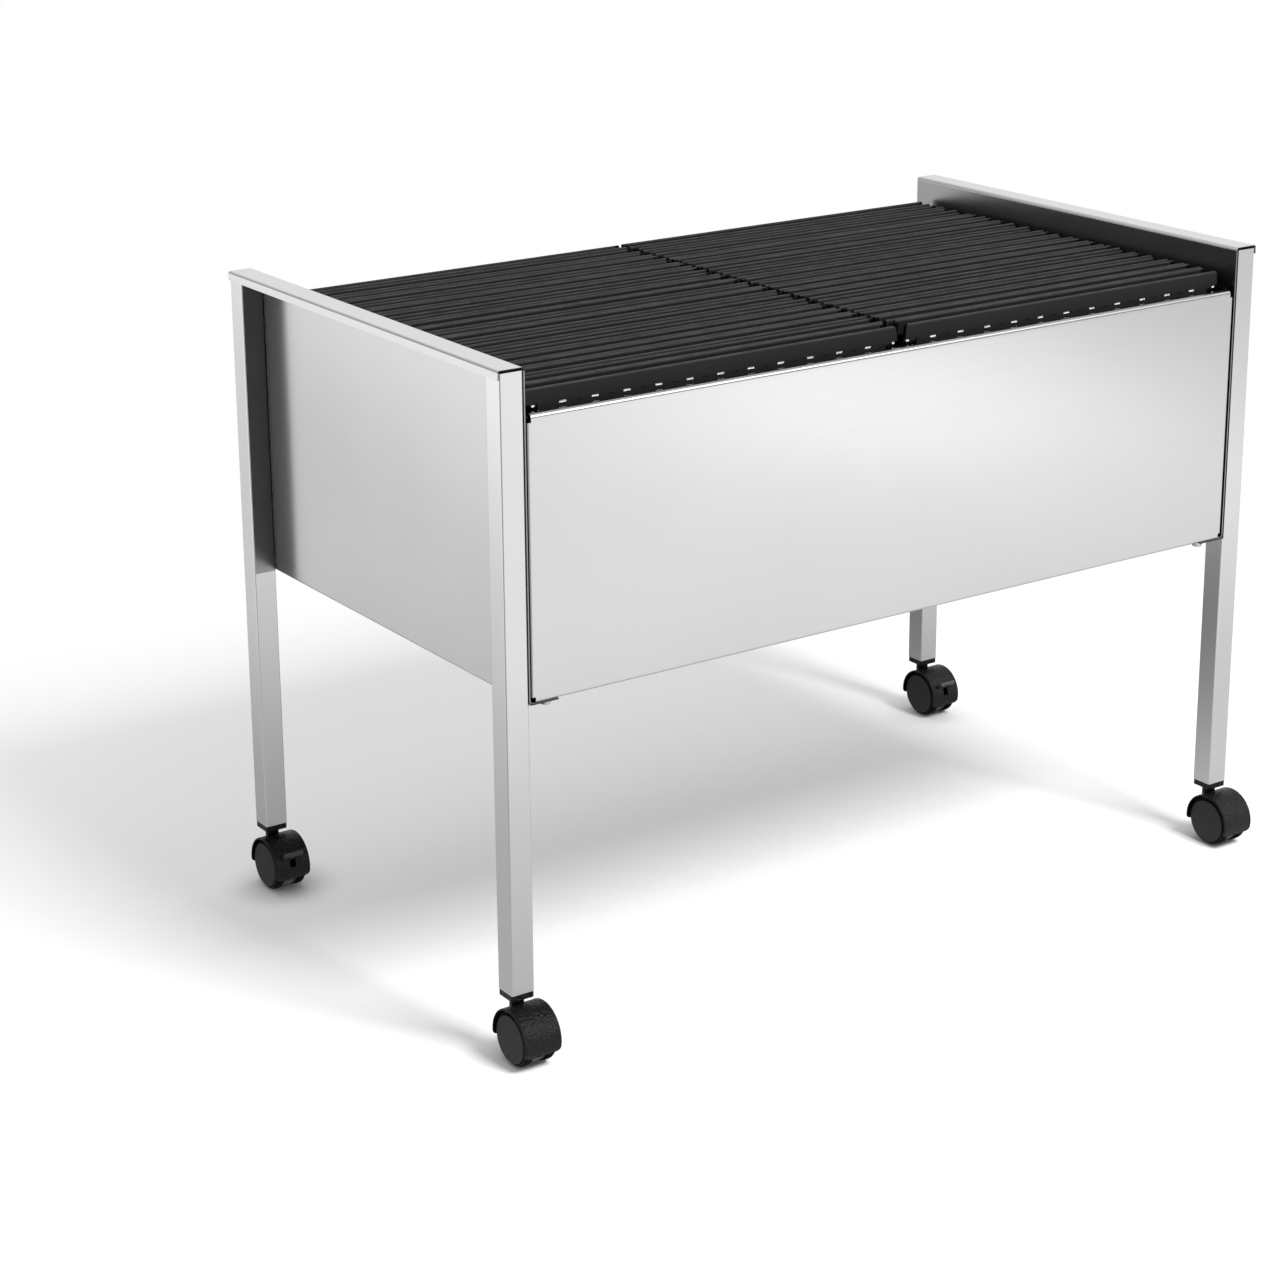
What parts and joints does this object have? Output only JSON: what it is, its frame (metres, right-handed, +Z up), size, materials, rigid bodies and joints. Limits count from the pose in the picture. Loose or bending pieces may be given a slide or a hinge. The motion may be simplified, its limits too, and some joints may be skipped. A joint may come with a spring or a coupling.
{
  "type": "mobile file cart",
  "caption": "Low steel file trolley on twin-wheel swivel castors: square-tube posts, folded sheet panels and inner rails that carry rows of black hanging files.",
  "frame": {"origin": "on the floor, in the middle of the footprint with the castors trailing to the front", "axes": "+X along the cart to the right, +Y to the back, +Z up"},
  "size_m": [0.769, 0.4506, 0.544],
  "materials": {
    "steel": "satin silver sheet steel and square tube, finely brushed",
    "zinc": "bright zinc-plated steel",
    "card": "black matt file card with a faint grain",
    "plastic": "black moulded plastic with a fine texture"
  },
  "bodies": {
    "frame": {"front_left_post": "steel", "front_left_post_plug": "plastic", "front_left_bolt": "zinc", "front_right_post": "steel", "front_right_post_plug": "plastic", "front_right_bolt": "zinc", "back_left_post": "steel", "back_left_post_plug": "plastic", "back_left_bolt": "zinc", "back_right_post": "steel", "back_right_post_plug": "plastic", "back_right_bolt": "zinc", "front_panel": "steel", "back_panel": "steel", "left_end_panel": "steel", "right_end_panel": "steel", "left_rail": "steel", "right_rail": "steel", "centre_rail": "steel"},
    "front_left_castor": {"front_left_castor_stem": "zinc", "front_left_castor_hood": "plastic", "front_left_castor_axle": "zinc"},
    "front_left_left_wheel": {"front_left_castor_left_wheel": "plastic"},
    "front_left_right_wheel": {"front_left_castor_right_wheel": "plastic"},
    "front_right_castor": {"front_right_castor_stem": "zinc", "front_right_castor_hood": "plastic", "front_right_castor_axle": "zinc"},
    "front_right_left_wheel": {"front_right_castor_left_wheel": "plastic"},
    "front_right_right_wheel": {"front_right_castor_right_wheel": "plastic"},
    "back_left_castor": {"back_left_castor_stem": "zinc", "back_left_castor_hood": "plastic", "back_left_castor_axle": "zinc"},
    "back_left_left_wheel": {"back_left_castor_left_wheel": "plastic"},
    "back_left_right_wheel": {"back_left_castor_right_wheel": "plastic"},
    "back_left_brake": {"back_left_castor_brake": "plastic"},
    "back_right_castor": {"back_right_castor_stem": "zinc", "back_right_castor_hood": "plastic", "back_right_castor_axle": "zinc"},
    "back_right_left_wheel": {"back_right_castor_left_wheel": "plastic"},
    "back_right_right_wheel": {"back_right_castor_right_wheel": "plastic"},
    "back_right_brake": {"back_right_castor_brake": "plastic"},
    "left_front_file": {"left_front_file_card": "card", "left_front_file_front_bar": "zinc", "left_front_file_back_bar": "zinc"},
    "left_files": {"left_file_pack_1": "card", "left_file_pack_2": "card", "left_file_pack_3": "card", "left_file_pack_4": "card", "left_file_pack_5": "card"},
    "right_front_file": {"right_front_file_card": "card", "right_front_file_front_bar": "zinc", "right_front_file_back_bar": "zinc"},
    "right_files": {"right_file_pack_1": "card", "right_file_pack_2": "card", "right_file_pack_3": "card", "right_file_pack_4": "card", "right_file_pack_5": "card"}
  },
  "joints": [
    {"name": "front_left_swivel", "type": "hinge", "parent": "frame", "child": "front_left_castor", "pos_m": [-0.368, -0.187, 0.0495], "axis": [0, 0, 1], "continuous": true},
    {"name": "front_left_left_wheel_spin", "type": "hinge", "parent": "front_left_castor", "child": "front_left_left_wheel", "pos_m": [-0.368, -0.201, 0.0223], "axis": [1, 0, 0], "continuous": true},
    {"name": "front_left_right_wheel_spin", "type": "hinge", "parent": "front_left_castor", "child": "front_left_right_wheel", "pos_m": [-0.368, -0.201, 0.0223], "axis": [1, 0, 0], "continuous": true},
    {"name": "front_right_swivel", "type": "hinge", "parent": "frame", "child": "front_right_castor", "pos_m": [0.368, -0.187, 0.0495], "axis": [0, 0, 1], "continuous": true},
    {"name": "front_right_left_wheel_spin", "type": "hinge", "parent": "front_right_castor", "child": "front_right_left_wheel", "pos_m": [0.368, -0.201, 0.0223], "axis": [1, 0, 0], "continuous": true},
    {"name": "front_right_right_wheel_spin", "type": "hinge", "parent": "front_right_castor", "child": "front_right_right_wheel", "pos_m": [0.368, -0.201, 0.0223], "axis": [1, 0, 0], "continuous": true},
    {"name": "back_left_swivel", "type": "hinge", "parent": "frame", "child": "back_left_castor", "pos_m": [-0.368, 0.215, 0.0495], "axis": [0, 0, 1], "continuous": true},
    {"name": "back_left_left_wheel_spin", "type": "hinge", "parent": "back_left_castor", "child": "back_left_left_wheel", "pos_m": [-0.368, 0.201, 0.0223], "axis": [1, 0, 0], "continuous": true},
    {"name": "back_left_right_wheel_spin", "type": "hinge", "parent": "back_left_castor", "child": "back_left_right_wheel", "pos_m": [-0.368, 0.201, 0.0223], "axis": [1, 0, 0], "continuous": true},
    {"name": "back_left_brake_press", "type": "hinge", "parent": "back_left_castor", "child": "back_left_brake", "pos_m": [-0.368, 0.19, 0.0263], "axis": [1, 0, 0], "range_deg": [0, 20]},
    {"name": "back_right_swivel", "type": "hinge", "parent": "frame", "child": "back_right_castor", "pos_m": [0.368, 0.215, 0.0495], "axis": [0, 0, 1], "continuous": true},
    {"name": "back_right_left_wheel_spin", "type": "hinge", "parent": "back_right_castor", "child": "back_right_left_wheel", "pos_m": [0.368, 0.201, 0.0223], "axis": [1, 0, 0], "continuous": true},
    {"name": "back_right_right_wheel_spin", "type": "hinge", "parent": "back_right_castor", "child": "back_right_right_wheel", "pos_m": [0.368, 0.201, 0.0223], "axis": [1, 0, 0], "continuous": true},
    {"name": "back_right_brake_press", "type": "hinge", "parent": "back_right_castor", "child": "back_right_brake", "pos_m": [0.368, 0.19, 0.0263], "axis": [1, 0, 0], "range_deg": [0, 20]},
    {"name": "left_front_file_lift", "type": "slide", "parent": "frame", "child": "left_front_file", "axis": [0, 0, 1], "range_m": [0, 0.24]},
    {"name": "left_files_lift", "type": "slide", "parent": "frame", "child": "left_files", "axis": [0, 0, 1], "range_m": [0, 0.24]},
    {"name": "right_front_file_lift", "type": "slide", "parent": "frame", "child": "right_front_file", "axis": [0, 0, 1], "range_m": [0, 0.24]},
    {"name": "right_files_lift", "type": "slide", "parent": "frame", "child": "right_files", "axis": [0, 0, 1], "range_m": [0, 0.24]}
  ]
}
